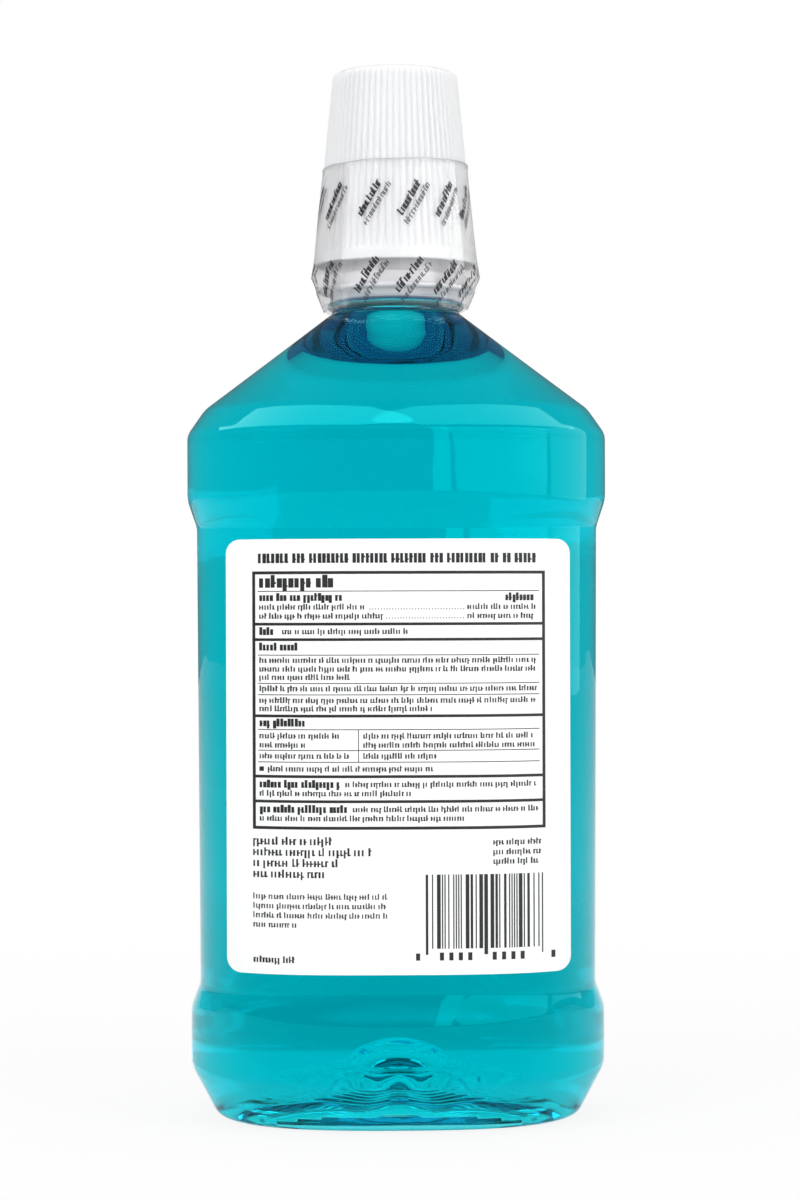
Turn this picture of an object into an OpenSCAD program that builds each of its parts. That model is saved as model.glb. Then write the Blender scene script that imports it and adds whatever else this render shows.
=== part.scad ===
// Mouthwash bottle: a blown oval bottle full of liquid, with a screw dosing cap,
// a liner, a tear-off neckband and two labels.
// Units are millimetres. +Z is up, the bottle stands on Z = 0 about the Z axis,
// and the back label faces -Y.

/* [Body of the bottle] */
// Width over the upper bumper
body_w = 115.4; // [106:0.2:124]
// Depth over the upper bumper
body_d = 85.2; // [76:0.2:92]
// How much further in the lower bumper lies, on each side
lower_step = 0.7; // [0:0.1:2]
// How deep the label panel lies below the upper bumper
panel_recess = 2.7; // [1:0.1:4]
// How much further in the panel's sides lie at its foot
panel_taper = 0.6; // [0:0.1:1.5]
// Squareness of the bumpers in plan, where 2 is an ellipse
bumper_square = 2.6; // [2.2:0.1:3.4]
// Squareness of the label panel in plan
panel_square = 3; // [2.2:0.1:3.6]
// Thickness of the blown wall
wall = 0.5; // [0.3:0.05:0.9]

/* [Heights up the body] */
// Height of the rounded edge round the foot
foot_edge_h = 1.2; // [0.8:0.1:2.5]
// Height of the chamfer between the foot and the lower bumper
foot_chamfer_h = 13.4; // [9:0.2:18]
// Height of the lower bumper
lower_bumper_h = 15.5; // [10:0.1:22]
// Height of the slope from the lower bumper in to the panel
lower_slope_h = 6.8; // [4:0.1:10]
// Height of the label panel
panel_h = 124.8; // [120:0.2:142]
// Height of the slope from the panel out to the upper bumper
upper_slope_h = 7.7; // [4:0.1:10]
// Height of the upper bumper, up to its sharp corner with the shoulder
upper_bumper_h = 21.2; // [14:0.1:28]
// Slope of the shoulder at the sides, from the horizontal
shoulder_angle = 37.3; // [30:0.1:44]
// Height of the chamfer between the upper bumper and the shoulder
shoulder_chamfer_h = 7; // [3:0.1:9]
// How far that chamfer runs in at the sides
shoulder_chamfer_in = 4.8; // [1:0.1:6]

/* [Foot] */
// How far the chamfer runs in at the foot
foot_chamfer_in = 7; // [4:0.1:10]
// How far the rounded edge runs in below the chamfer
foot_edge_in = 3.6; // [2:0.1:5]
// Width of the flat ring that the bottle stands on
foot_ring_w = 4.5; // [3:0.1:7]
// Radius of the dome pushed up in the middle of the foot
dome_r = 9.7; // [7:0.1:14]
// Height of the dome's crown above the table
dome_h = 17.4; // [16:0.1:24]
// Height of the dome's rim above the table
dome_rim_h = 14; // [9:0.1:15]
// Number of petals round the dome
petals = 8; // [4:1:12]
// Height of the petals
petal_h = 1; // [0.2:0.1:2]
// Thickness of the dome, where the preform hardly stretches
gate_t = 4.5; // [1:0.1:5]

/* [Neck] */
// Radius where the shoulder meets the neck
neck_root_r = 18.2; // [17.7:0.1:18.6]
// Radius of the neck behind its thread
neck_r = 17.5; // [17:0.05:17.6]
// Radius of the bore
bore_r = 15.3; // [14:0.1:16]
// Height of the neck above the shoulder
neck_h = 31.6; // [30:0.1:34]
// Radius of the bead at the neck's root
root_bead_r = 18.9; // [18.4:0.1:19.2]
// Height of that bead above the shoulder
root_bead_z = 2.4; // [1.8:0.1:3.2]
// Radius of the bead's rounding
root_bead_round = 1.1; // [0.8:0.1:1.4]
// Radius of the support ring
ring_r = 21.5; // [21:0.1:21.9]
// Height of the support ring's underside above the shoulder
ring_z = 6; // [5.4:0.1:7]
// Thickness of the support ring
ring_t = 1.4; // [1:0.1:2]
// Radius of the collar on the support ring
collar_r = 20.1; // [19.6:0.1:20.6]
// Height of the collar
collar_h = 3.2; // [2:0.1:3.6]
// Outer radius of the two child-resistant lugs
lug_r = 19.5; // [18.8:0.1:19.7]
// Height of the lugs above the collar
lug_h = 6.4; // [4:0.1:6.8]
// Length of each lug round the neck, in degrees
lug_arc = 24; // [12:1:40]

/* [Mouthwash] */
// Height of the liquid in the neck above the shoulder
fill_above_shoulder = 3.6; // [1:0.1:10]
// Gap drawn between the liquid and the wall
fill_gap = 0.1; // [0.05:0.05:0.3]

/* [Cap] */
// Height of the cap
cap_h = 53.4; // [46:0.1:60]
// Outer radius at the rim
cap_rim_r = 22.5; // [22.1:0.1:23.5]
// Taper of the side
cap_taper = 5.75; // [4.5:0.05:6.2]
// Radius of the top edge
cap_edge_round = 1.8; // [1:0.1:2.4]
// Thickness of the side wall
cap_wall = 1.2; // [1:0.05:1.4]
// Thickness of the top
cap_top_t = 1.5; // [1:0.1:2.5]
// Height of the smooth band above the rim
cap_band_h = 2.6; // [1.5:0.1:5]
// Number of flutes
flutes = 66; // [40:1:72]
// Width of a flute at the surface
flute_w = 1.25; // [0.6:0.05:1.4]
// Depth of a flute
flute_depth = 0.4; // [0.2:0.05:0.6]
// Height of the liner's seat above the rim
cap_seat_h = 19.2; // [18.4:0.1:20.4]
// Thickness of the ledge that presses on the liner
ledge_t = 1.2; // [0.8:0.1:2]
// How far the ledge overhangs the bore's edge outward
ledge_lap = 0.7; // [0.4:0.1:1.2]
// Height of the threaded skirt's lower end above the rim
skirt_start = 5.3; // [5:0.1:7]
// Thickness of the threaded skirt
skirt_t = 0.9; // [0.7:0.05:1.1]
// Room for both threads between the neck and the skirt
thread_room = 1.2; // [1.1:0.05:1.4]
// Length of each catch inside the cap, in degrees
catch_arc = 18; // [10:1:30]
// Where the catches stand, round from the lugs
catch_turn = 34; // [30:1:60]
// Height of the catches
catch_h = 3; // [2:0.1:3.6]
// Height of the catches above the rim
catch_z = 1; // [0.6:0.1:1.6]
// Running clearance between the lugs and the catches
catch_clearance = 0.2; // [0.1:0.05:0.4]

/* [Liner] */
// Thickness of the liner
liner_t = 1.2; // [0.8:0.1:2]
// Gap between the liner and the threaded skirt
liner_gap = 0.3; // [0.15:0.05:0.5]
// How far the liner stops short of the bore
liner_set_back = 0.2; // [0.1:0.1:0.6]

/* [Neckband] */
// How far the band reaches up the cap
band_over_cap = 28; // [15:0.5:35]
// How far the band reaches down past the support ring
band_below_ring = 4.7; // [3:0.1:5]
// Thickness of the film
band_t = 0.15; // [0.1:0.01:0.25]
// Gap between the film and what it wraps
band_gap = 0.12; // [0.08:0.01:0.25]
// How far the film bulges out between the cap and the support ring
band_pucker = 0.4; // [0.1:0.1:0.6]
// Gap between the film's lower hem and the bead at the neck's root
band_hem_gap = 0.9; // [0.4:0.1:1.2]
// Width of the slit along the two perforated tear lines
tear_gap = 0.1; // [0.05:0.05:0.3]

/* [Labels] */
// Width of each label, measured straight across
label_w = 91.8; // [60:0.2:95]
// Height of each label
label_h = 115.2; // [80:0.2:117]
// Height of the label's lower edge above the panel's lower edge
label_up = 5.9; // [1:0.1:7]
// Radius of the label's corners
label_corner = 3.8; // [2:0.1:8]
// Thickness of the label film
label_t = 0.15; // [0.1:0.01:0.3]

/* [Hidden] */
$fn = 96;
around = 64;
slack = 1;
lip_chamfer = 0.6;
bore_lap = 0.4;
shoulder_steps = 4;
dome_steps = 4;
dome_sweep = 52;
flare_steps = 4;

// Half widths and half depths of the plan, from the upper bumper in
top_a = body_w / 2;
top_b = body_d / 2;
low_a = top_a - lower_step;
low_b = top_b - lower_step;
panel_a = top_a - panel_recess;
panel_b = top_b - panel_recess;
edge_a = low_a - foot_chamfer_in;
edge_b = low_b - foot_chamfer_in;
stand_a = edge_a - foot_edge_in;
stand_b = edge_b - foot_edge_in;
inner_a = stand_a - foot_ring_w;
inner_b = stand_b - foot_ring_w;

// Heights stacked up from the table
chamfer_top = foot_edge_h + foot_chamfer_h;
low_top = chamfer_top + lower_bumper_h;
panel_z = low_top + lower_slope_h;
panel_top = panel_z + panel_h;
high_z = panel_top + upper_slope_h;
corner_z = high_z + upper_bumper_h;
root_z = corner_z + (top_a - neck_root_r) * tan(shoulder_angle);
lip_z = root_z + neck_h;
support_z = root_z + ring_z;
collar_z = support_z + ring_t;
lug_z = collar_z + collar_h;
fill_z = root_z + fill_above_shoulder;
seat_z = lip_z + liner_t;
rim_z = seat_z - cap_seat_h;
cap_top_z = rim_z + cap_h;
label_z = panel_z + label_up;

// Radii that fit one another inside the cap
thread_bore_r = neck_r + thread_room;
ledge_r = bore_r + ledge_lap;
catch_r = lug_r + catch_clearance;

function lerp(low, high, share) = low + (high - low) * share;

// A station of the blown wall is [height, half width, half depth, squareness, petal height]
function dome_station(angle) =
    let (r = dome_r * sin(angle) / sin(dome_sweep))
    [
        lerp(dome_rim_h, dome_h, (cos(angle) - cos(dome_sweep)) / (1 - cos(dome_sweep))),
        r, r, 2, 0
    ];
function flare_station(share) = [
    dome_rim_h * (1 - pow(share, 3)),
    lerp(dome_r, inner_a, share),
    lerp(dome_r, inner_b, share),
    lerp(2, bumper_square, share),
    petal_h * pow(sin(180 * pow(share, 1.6)), 2)
];

// The shoulder goes from the bumper's oval to the neck's circle as its half width shrinks
function shoulder_station(a, z) =
    let (share = (top_a - a) / (top_a - neck_root_r))
    [z, a, lerp(top_b, neck_root_r, share), lerp(bumper_square, 2, share), 0];
slope_a = top_a - shoulder_chamfer_in;
slope_z = corner_z + shoulder_chamfer_in * tan(shoulder_angle);
function slope_station(share) = shoulder_station(
    lerp(slope_a, neck_root_r, share),
    lerp(slope_z, root_z, share)
);

// The wall's outside, from the middle of the foot out to the ring it stands on and up
outside = [
    for (i = [1 : dome_steps]) dome_station(dome_sweep * i / dome_steps),
    for (i = [1 : flare_steps]) flare_station(i / flare_steps),
    [0, stand_a, stand_b, bumper_square, 0],
    [foot_edge_h, edge_a, edge_b, bumper_square, 0],
    [chamfer_top, low_a, low_b, bumper_square, 0],
    [low_top, low_a, low_b, bumper_square, 0],
    [panel_z, panel_a - panel_taper, panel_b, panel_square, 0],
    [panel_top, panel_a, panel_b, panel_square, 0],
    [high_z, top_a, top_b, bumper_square, 0],
    [slope_z - shoulder_chamfer_h, top_a, top_b, bumper_square, 0],
    for (i = [0 : shoulder_steps]) slope_station(i / shoulder_steps)
];
last = len(outside) - 1;

// The same wall moved in by a distance, square to its profile, and ending within the bore.
// It is moved in further over the dome, which is thicker.
function way(i) =
    let (from = outside[max(i - 1, 0)], to = outside[min(i + 1, last)])
    [to[1] - from[1], to[0] - from[0]];
function gate_share(i) = pow(min(1, max(0, 1 - (i - dome_steps + 1) / flare_steps)), 2.5);
function moved_in(i, by) =
    let (
        s = outside[i],
        w = way(i),
        out = [w[1], -w[0]] / norm(w),
        t = by + (gate_t - wall) * gate_share(i)
    )
    [s[0] - t * out[1], s[1] - t * out[0], s[2] - t * out[0], s[3], s[4]];
function inside(by, top_r) = [
    for (i = [0 : last - 1]) moved_in(i, by),
    [root_z, top_r - bore_lap, top_r - bore_lap, 2, 0]
];

function plan_r(s, phi) =
    pow(pow(abs(cos(phi)) / s[1], s[3]) + pow(abs(sin(phi)) / s[2], s[3]), -1 / s[3]);
function ring_points(s) = [
    for (i = [0 : around - 1])
        let (phi = 360 * i / around, r = plan_r(s, phi))
        [r * cos(phi), r * sin(phi), s[0] + s[4] * cos(petals * phi)]
];

// A closed solid through a list of stations
module lofted(stations) {
    rings = len(stations);
    polyhedron(
        points = [for (s = stations) each ring_points(s)],
        faces = [
            [for (i = [0 : around - 1]) i],
            for (j = [0 : rings - 2], i = [0 : around - 1])
                let (low = j * around, next = (i + 1) % around)
                each [
                    [low + i, low + around + i, low + around + next],
                    [low + i, low + around + next, low + next]
                ],
            [for (i = [around - 1 : -1 : 0]) (rings - 1) * around + i]
        ]
    );
}

// A slice of a solid of revolution, centred on an angle
module sector(middle, arc) {
    rotate([0, 0, middle - arc / 2])
        rotate_extrude(angle = arc)
            children();
}

module neck_profile() {
    difference() {
        translate([0, root_z - slack])
            square([neck_r, neck_h + slack]);
        translate([neck_r - lip_chamfer, lip_z])
            rotate(-45)
                square(2 * lip_chamfer);
    }
    translate([neck_r - slack, root_z + root_bead_z])
        intersection() {
            translate([root_bead_r - root_bead_round - neck_r + slack, 0])
                circle(root_bead_round);
            translate([0, -root_bead_round])
                square(4 * root_bead_round);
        }
    translate([0, support_z])
        square([ring_r - ring_t / 2, ring_t]);
    translate([ring_r - ring_t / 2, support_z + ring_t / 2])
        circle(ring_t / 2);
    translate([0, collar_z - ring_t / 2])
        square([collar_r, collar_h + ring_t / 2]);
}

module lug() {
    sector(0, lug_arc)
        translate([bore_r + slack, lug_z - slack])
            square([lug_r - bore_r - slack, lug_h + slack]);
}

module bottle() {
    color([0.80, 0.92, 0.94, 0.4])
        difference() {
            union() {
                lofted(outside);
                rotate_extrude()
                    neck_profile();
                for (side = [0, 180])
                    rotate([0, 0, side])
                        lug();
            }
            lofted(inside(wall, bore_r));
            translate([0, 0, root_z - slack])
                cylinder(r = bore_r, h = neck_h + 2 * slack);
        }
}

module mouthwash() {
    fill_r = bore_r - fill_gap;
    color([0.00, 0.69, 0.74])
        union() {
            lofted(inside(wall + fill_gap, fill_r));
            translate([0, 0, root_z - slack])
                cylinder(r = fill_r, h = fill_above_shoulder + slack);
        }
}

module label_outline() {
    straight_w = label_w - 2 * label_corner;
    straight_h = label_h - 2 * label_corner;
    translate([-straight_w / 2, 0])
        square([straight_w, label_h]);
    translate([-label_w / 2, label_corner])
        square([label_w, straight_h]);
    for (x = [-1, 1], z = [0, 1])
        translate([x * straight_w / 2, label_corner + z * straight_h])
            circle(label_corner);
}

// A sheet bent round the panel, on the side that the turn brings to -Y
module label(turn) {
    foot = [panel_z, panel_a - panel_taper, panel_b, panel_square, 0];
    head = [panel_top, panel_a, panel_b, panel_square, 0];
    color([0.97, 0.97, 0.96])
        rotate([0, 0, turn])
            intersection() {
                difference() {
                    lofted([foot + [0, label_t, label_t, 0, 0], head + [0, label_t, label_t, 0, 0]]);
                    lofted([foot, head]);
                }
                translate([0, 0, label_z])
                    rotate([90, 0, 0])
                        linear_extrude(body_d)
                            label_outline();
            }
}

module back_label() {
    label(0);
}

module front_label() {
    label(180);
}

module cap_liner() {
    color([0.88, 0.90, 0.90])
        translate([0, 0, lip_z])
            difference() {
                cylinder(r = thread_bore_r - liner_gap, h = liner_t);
                translate([0, 0, -slack])
                    cylinder(r = bore_r + liner_set_back, h = liner_t + 2 * slack);
            }
}

function cap_side(z) = cap_rim_r - (z - rim_z) * tan(cap_taper);

// Half of the cap's outline, moved in by a wall and down by a top, open past the rim
module cap_half(in, down, below) {
    round = max(cap_edge_round - in, 0.3);
    top = cap_top_z - down;
    mid_z = top - round;
    mid_r = cap_side(mid_z) - (in + round) / cos(cap_taper);
    foot = rim_z - below;
    polygon([
        [0, foot],
        [cap_side(foot) - in / cos(cap_taper), foot],
        [mid_r + round * cos(cap_taper), mid_z + round * sin(cap_taper)],
        [mid_r, mid_z],
        [mid_r, top],
        [0, top]
    ]);
    translate([mid_r, mid_z])
        circle(round);
}

// What is inside the cap runs out into the middle of its side wall
module within_cap() {
    intersection() {
        children();
        cap_half(cap_wall / 2, cap_top_t / 2, 0);
    }
}

module cap_profile() {
    difference() {
        cap_half(0, 0, 0);
        cap_half(cap_wall, cap_top_t, slack);
    }
    within_cap()
        translate([thread_bore_r, rim_z + skirt_start])
            square([skirt_t, cap_seat_h - skirt_start + ledge_t]);
    within_cap()
        translate([ledge_r, seat_z])
            square([cap_rim_r, ledge_t]);
}

module flute() {
    start_z = rim_z + cap_band_h;
    translate([cap_side(start_z), 0, start_z])
        rotate([0, -cap_taper, 0])
            linear_extrude(cap_h)
                polygon([
                    [-flute_depth, 0],
                    [flute_depth, flute_w],
                    [flute_depth, -flute_w]
                ]);
}

module catch() {
    sector(catch_turn, catch_arc)
        within_cap()
            translate([catch_r, rim_z + catch_z])
                square([cap_rim_r, catch_h]);
}

module cap() {
    color([0.96, 0.96, 0.95])
        difference() {
            union() {
                rotate_extrude()
                    cap_profile();
                for (side = [0, 180])
                    rotate([0, 0, side])
                        catch();
            }
            for (i = [0 : flutes - 1])
                rotate([0, 0, 360 * i / flutes])
                    flute();
        }
}

// The film's inner face, from its lower hem up
band_top_z = rim_z + band_over_cap;
band_line = [
    [root_bead_r + band_hem_gap, support_z - band_below_ring],
    [ring_r + band_gap, support_z],
    [ring_r + band_gap, collar_z],
    [cap_rim_r + band_gap + band_pucker, (collar_z + rim_z) / 2],
    [cap_rim_r + band_gap, rim_z],
    [cap_side(band_top_z) + band_gap, band_top_z]
];

// Half of the film, on the side that the turn brings to -Y
module band_half(turn) {
    reach = cap_rim_r + 2 * slack;
    color([0.80, 0.80, 0.88, 0.5])
        rotate([0, 0, turn])
            intersection() {
                rotate_extrude()
                    polygon([
                        each band_line,
                        for (i = [len(band_line) - 1 : -1 : 0]) band_line[i] + [band_t, 0]
                    ]);
                translate([-reach, -reach - tear_gap / 2, root_z - slack])
                    cube([2 * reach, reach, band_top_z - root_z + 2 * slack]);
            }
}

module neckband_back() {
    band_half(0);
}

module neckband_front() {
    band_half(180);
}

bottle();
mouthwash();
back_label();
front_label();
cap_liner();
cap();
neckband_back();
neckband_front();
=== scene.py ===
import math
import random

import bpy
import numpy as np
from mathutils import Matrix, Vector


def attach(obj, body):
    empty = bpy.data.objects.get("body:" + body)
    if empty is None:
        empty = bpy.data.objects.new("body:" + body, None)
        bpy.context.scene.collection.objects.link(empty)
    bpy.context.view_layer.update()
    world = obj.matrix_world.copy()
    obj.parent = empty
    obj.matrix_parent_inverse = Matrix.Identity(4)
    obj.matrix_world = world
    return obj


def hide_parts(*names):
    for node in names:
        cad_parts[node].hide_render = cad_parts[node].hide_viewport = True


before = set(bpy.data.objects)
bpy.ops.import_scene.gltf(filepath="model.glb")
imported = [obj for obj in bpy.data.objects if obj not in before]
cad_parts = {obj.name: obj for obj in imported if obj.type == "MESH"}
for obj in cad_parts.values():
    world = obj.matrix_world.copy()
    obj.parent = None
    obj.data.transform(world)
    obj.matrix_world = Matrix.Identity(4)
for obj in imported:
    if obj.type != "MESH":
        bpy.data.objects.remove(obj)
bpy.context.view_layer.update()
MM = 0.001


# Camera: a long lens 800 mm from the bottle's axis, level with the middle of the label,
# a hair to the left of square on and rolled by a fifth of a degree.
camera_distance = 0.800
camera_height = 0.1418
camera_turn = math.radians(-0.8)
camera_aside = 3.5 / 2880
camera_roll = math.radians(-0.18)
lens = bpy.data.cameras.new("camera")
lens.sensor_fit = "VERTICAL"
lens.sensor_height = 24
lens.lens = 57.6
lens.clip_start = 0.05
camera = bpy.data.objects.new("camera", lens)
bpy.context.scene.collection.objects.link(camera)
camera.matrix_world = (
    Matrix.Translation((
        camera_distance * math.sin(camera_turn),
        -camera_distance * math.cos(camera_turn),
        camera_height,
    ))
    @ Matrix.Rotation(camera_turn - camera_aside, 4, "Z")
    @ Matrix.Rotation(math.radians(90), 4, "X")
    @ Matrix.Rotation(camera_roll, 4, "Z")
)
bpy.context.scene.camera = camera
bpy.context.scene.view_settings.view_transform = "Standard"
bpy.context.scene.cycles.max_bounces = 32
bpy.context.scene.cycles.transmission_bounces = 32
bpy.context.scene.cycles.glossy_bounces = 12


# Studio: a white sweep that clear plastic and liquid show through them, with a darker
# room on the camera's side for what they mirror, and large soft lamps.
world = bpy.data.worlds.new("studio")
bpy.context.scene.world = world
world.use_nodes = True
sky = world.node_tree
sky.nodes.clear()
rays = sky.nodes.new("ShaderNodeLightPath")


def sky_of(colour, strength=1):
    node = sky.nodes.new("ShaderNodeBackground")
    node.inputs["Color"].default_value = (*colour, 1)
    node.inputs["Strength"].default_value = strength
    return node.outputs[0]


def sky_for(ray, asked, others):
    """One sky for a kind of ray, and another for all others."""
    mix = sky.nodes.new("ShaderNodeMixShader")
    sky.links.new(rays.outputs[ray], mix.inputs[0])
    sky.links.new(others, mix.inputs[1])
    sky.links.new(asked, mix.inputs[2])
    return mix.outputs[0]


room = sky_of((0.97, 0.98, 1), 0.47)
in_mirrors = sky_for("Is Glossy Ray", sky_of((1, 1, 1), 0.12), room)
through_clear = sky_for("Is Transmission Ray", sky_of((0.85, 0.85, 0.85)), in_mirrors)
seen = sky_for("Is Camera Ray", sky_of((1, 1, 1)), through_clear)
out = sky.nodes.new("ShaderNodeOutputWorld")
sky.links.new(seen, out.inputs["Surface"])


def softbox(name, place, aim, size, watts, mirrored=False, along=(0, 0, 1)):
    """A rectangular soft lamp that faces a point. A mirrored one only shows as a reflection."""
    lamp = bpy.data.lights.new(name, "AREA")
    lamp.shape = "RECTANGLE"
    lamp.size, lamp.size_y = size
    lamp.energy = watts
    box = bpy.data.objects.new(name, lamp)
    bpy.context.scene.collection.objects.link(box)
    box.visible_glossy, box.visible_diffuse = mirrored, not mirrored
    box.visible_transmission = not mirrored
    back = (Vector(place) - Vector(aim)).normalized()
    side = Vector(along).cross(back).normalized()
    turn = Matrix((side, back.cross(side), back)).transposed().to_4x4()
    box.matrix_world = Matrix.Translation(place) @ turn


softbox("lamp_left", (-1.1, -1.2, 0.9), (0, 0, 0.15), (0.9, 1.2), 14.3)
softbox("lamp_right", (1.2, -1.0, 0.8), (0, 0, 0.15), (0.7, 1.2), 11.2)
softbox("lamp_top", (0, 0.2, 1.6), (0, 0, 0.1), (1.2, 1.2), 6)
softbox("card_right", (0.86, -1.175, 0.58), (0, 0, 0.15), (1.374, 1.1), 8.8, mirrored=True)
softbox("card_strip", (0.224, -1.48, 0.58), (0, 0, 0.15), (0.125, 1.1), 0.95, mirrored=True)
softbox("card_side", (1.45, -0.10, 0.58), (0, 0, 0.15), (1.30, 1.1), 6, mirrored=True)
for name, side, watts in (("card_over_left", -1, 10), ("card_over_right", 1, 7.5)):
    softbox(name, (side * 0.74, -0.37, 1.32), (0, 0, 0.19), (0.42, 2.1), watts,
            mirrored=True, along=(side * 1.41, 1.15, 0))

bpy.ops.object.select_all(action="DESELECT")
bpy.ops.mesh.primitive_plane_add(size=8, location=(0, 0, -0.0002))
floor = bpy.context.object
floor.name = "floor"
paper_white = bpy.data.materials.new("floor_white")
paper_white.use_nodes = True
nodes, links = paper_white.node_tree.nodes, paper_white.node_tree.links
nodes.clear()


def floor_node(kind, feeds=(), **settings):
    """A node of the floor, its settings, and a value or a link for some of its sockets."""
    node = nodes.new(kind)
    for name, value in settings.items():
        setattr(node, name, value)
    for socket, value in feeds:
        if isinstance(value, bpy.types.NodeSocket):
            links.new(value, node.inputs[socket])
        else:
            node.inputs[socket].default_value = value
    return node


path = floor_node("ShaderNodeLightPath")
place = floor_node("ShaderNodeTexCoord").outputs["Object"]
far = floor_node("ShaderNodeVectorMath", [(0, place)], operation="LENGTH").outputs["Value"]

# The camera sees it white, apart from a share near the bottle that takes a soft shadow.
fade = floor_node("ShaderNodeMapRange", [
    ("Value", far), ("From Min", 0.10), ("From Max", 0.45), ("To Min", 0.88), ("To Max", 1.0),
]).outputs[0]
to_camera = floor_node("ShaderNodeMath", [
    (0, fade), (1, path.outputs["Is Camera Ray"]),
], operation="MULTIPLY").outputs[0]
share = floor_node("ShaderNodeMath", [
    (0, to_camera), (1, path.outputs["Is Transmission Ray"]),
], operation="MAXIMUM").outputs[0]

# Seen through the bottle, it shows painted shade: a painted dark blue shadow under the foot, where no
# lamp reaches, and painted grey shade further off.
foot_half_w, foot_half_d, greys_to = 0.057, 0.042, 0.625
under = floor_node("ShaderNodeMapping", [
    ("Vector", place), ("Scale", (1 / foot_half_w, 1 / foot_half_d, 1)),
]).outputs[0]
reach = floor_node("ShaderNodeVectorMath", [(0, under)], operation="LENGTH").outputs["Value"]
edge = floor_node("ShaderNodeMapRange", [
    ("Value", reach), ("From Min", 0.72), ("From Max", 1.0),
], interpolation_type="SMOOTHSTEP").outputs[0]
scaled = floor_node("ShaderNodeMath", [(0, far), (1, 1 / greys_to)], operation="MULTIPLY").outputs[0]
painted_grey_shade = floor_node("ShaderNodeValToRGB", [("Fac", scaled)])
ramp = painted_grey_shade.color_ramp
ramp.elements[0].position, ramp.elements[0].color = 0.10, (1, 1, 1, 1)
ramp.elements[1].position, ramp.elements[1].color = 1.0, (0.82, 0.82, 0.82, 1)
for position, level in ((0.22, 0.60), (0.50, 0.66)):
    step = ramp.elements.new(position)
    step.color = (level, level, level, 1)
# The painted shadow colour under the foot, and the painted grey shade beyond it.
shade = floor_node("ShaderNodeMix", [
    ("Factor", edge), ("A", (0.02, 0.42, 0.66, 1)), ("B", painted_grey_shade.outputs["Color"]),
], data_type="RGBA").outputs["Result"]
shown = floor_node("ShaderNodeMix", [
    ("Factor", path.outputs["Is Transmission Ray"]), ("A", (1, 1, 1, 1)), ("B", shade),
], data_type="RGBA").outputs["Result"]
lit = floor_node("ShaderNodeBsdfDiffuse", [("Color", (0.93, 0.93, 0.93, 1))]).outputs[0]
glow = floor_node("ShaderNodeEmission", [("Color", shown)]).outputs[0]
mixed = floor_node("ShaderNodeMixShader", [(0, share), (1, lit), (2, glow)]).outputs[0]
floor_node("ShaderNodeOutputMaterial", [("Surface", mixed)])
floor.data.materials.append(paper_white)


# Bottle: blown in clear plastic from a threaded preform, an oval body with two bumpers,
# a sunken label panel and a foot with a pushed-up dome, wall about half a millimetre.
wall = 0.5
top_a, top_b = 57.7, 42.6
low_a, low_b = 57.0, 41.9
panel_a, panel_b = 55.0, 39.9
panel_foot_a = 54.4
edge_a, edge_b = 50.0, 34.9
stand_a, stand_b = 46.4, 31.3
inner_a, inner_b = 41.9, 26.8
chamfer_top, low_top, panel_z, panel_top = 14.6, 30.1, 36.9, 161.7
high_z, corner_z = 169.4, 190.6
shoulder_angle = math.radians(37.3)
chamfer_h, chamfer_in = 7.0, 4.8
neck_root_r, neck_r, bore_r = 18.2, 17.5, 15.3
root_z = corner_z + (top_a - neck_root_r) * math.tan(shoulder_angle)
support_z, ring_t, ring_r = root_z + 6, 1.4, 21.5
collar_z, collar_h, collar_r = support_z + ring_t, 3.2, 20.1
lip_z = root_z + 31.6
fill_z = root_z + 3.6
dome_r, dome_h, dome_rim_h, dome_sweep = 9.7, 17.4, 14.0, math.radians(52)
gate_t = 4.5
petals, petal_h = 8, 0.7
ring_depth, ring_count = 0.05, 10
gate_r, plateau_t, heel_h = 15.6, 2.4, 7.7
mid_body_z = 100
oval, squarish = 2.6, 3
body_steps = 224


def between(low, high, share):
    return low + (high - low) * share


def shoulder_station(a, z):
    share = (top_a - a) / (top_a - neck_root_r)
    return [z, a, between(top_b, neck_root_r, share ** 0.9), between(oval, 2, share), 0]


def soften(stations, reach):
    """Rounds the corners of a line of stations, each by its own reach in millimetres."""
    stations = np.array(stations, float)
    line = [stations[0]]
    for before, here, after, r in zip(stations, stations[1:], stations[2:], reach[1:]):
        steps = [math.hypot(here[0] - p[0], here[1] - p[1]) for p in (before, after)]
        if r <= 0 or min(steps) < 1e-6:
            line.append(here)
            continue
        ins = [between(here, p, min(r, 0.45 * s) / s) for p, s in zip((before, after), steps)]
        for t in np.linspace(0, 1, 6):
            line.append(between(between(ins[0], here, t), between(here, ins[1], t), t))
    return line + [stations[-1]]


dome = []
for t in np.linspace(0.03, 1, 18) * dome_sweep:
    share = (math.cos(t) - math.cos(dome_sweep)) / (1 - math.cos(dome_sweep))
    r = dome_r * math.sin(t) / math.sin(dome_sweep)
    dome.append([between(dome_rim_h, dome_h, share), r, r, 2, 0])
flare_shares = np.linspace(1 / 90, 1, 90)
flare = [
    [
        dome_rim_h - (dome_rim_h - heel_h) * s ** 1.2 - heel_h * s ** 15,
        between(dome_r, inner_a, s),
        between(dome_r, inner_b, s),
        between(2, oval, s),
        petal_h * math.sin(math.pi * s ** 1.6) ** 2,
    ]
    for s in flare_shares
]
slope_a = top_a - chamfer_in
slope_z = corner_z + chamfer_in * math.tan(shoulder_angle)
body = [
    ([0, stand_a, stand_b, oval, 0], 1.5),
    ([1.2, edge_a, edge_b, oval, 0], 1.6),
    ([chamfer_top, low_a, low_b, oval, 0], 2.2),
    ([low_top, low_a, low_b, oval, 0], 1.6),
    ([panel_z, panel_foot_a, panel_b, squarish, 0], 1.2),
    ([panel_top, panel_a, panel_b, squarish, 0], 1.2),
    ([high_z, top_a, top_b, oval, 0], 1.8),
    ([slope_z - chamfer_h, top_a, top_b, oval, 0], 1.6),
    (shoulder_station(slope_a, slope_z), 1.6),
]
slope = [
    shoulder_station(between(slope_a, neck_root_r, s), between(slope_z, root_z, s))
    for s in np.linspace(0.08, 1, 20)
]
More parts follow.
